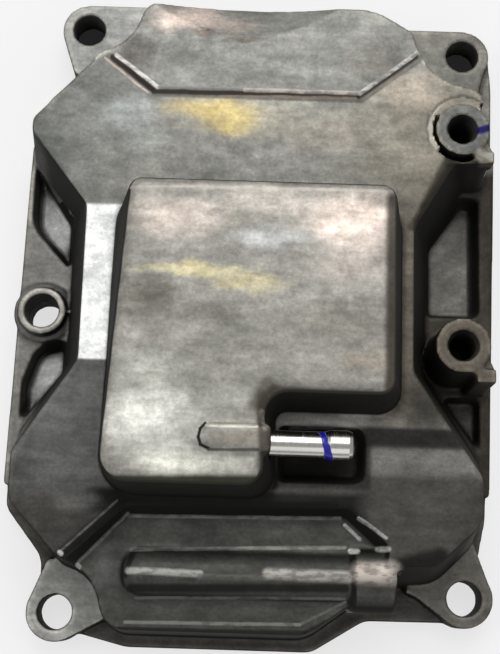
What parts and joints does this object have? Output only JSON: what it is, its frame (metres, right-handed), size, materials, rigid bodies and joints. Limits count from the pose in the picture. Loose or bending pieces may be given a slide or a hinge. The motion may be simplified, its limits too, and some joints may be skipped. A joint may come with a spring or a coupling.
{
  "type": "engine valve cover",
  "caption": "Die-cast engine valve cover with a raised breather box, a side hose nipple, an oil gallery boss, corner bolt ears, and an inner baffle with a reed valve.",
  "frame": {"origin": "middle of the footprint, on the sealing face", "axes": "+Z out of the engine, away from the sealing face; +Y along the cover, from the gallery boss to the scooped lobe; +X towards the side with the tapped bosses"},
  "size_m": [0.1303, 0.178, 0.0479],
  "materials": {
    "cast_aluminium": "as cast, mottled",
    "plated_steel": "zinc plated",
    "sheet_steel": "rolled, dull",
    "spring_steel": "blued, satin",
    "moulded_rubber": "matt",
    "gasket_paper": "pressed fibre",
    "wire_mesh": "knitted wire"
  },
  "bodies": {
    "root": {"cover_casting": "cast_aluminium", "sealing_gasket": "moulded_rubber", "breather_tube": "plated_steel", "gallery_plug": "plated_steel", "baffle_gasket": "gasket_paper", "baffle_plate": "sheet_steel", "baffle_screws": "plated_steel", "reed_valve": "spring_steel", "reed_stopper": "sheet_steel", "reed_screw": "plated_steel", "reed_nut": "plated_steel", "oil_filter": "wire_mesh"}
  },
  "joints": []
}
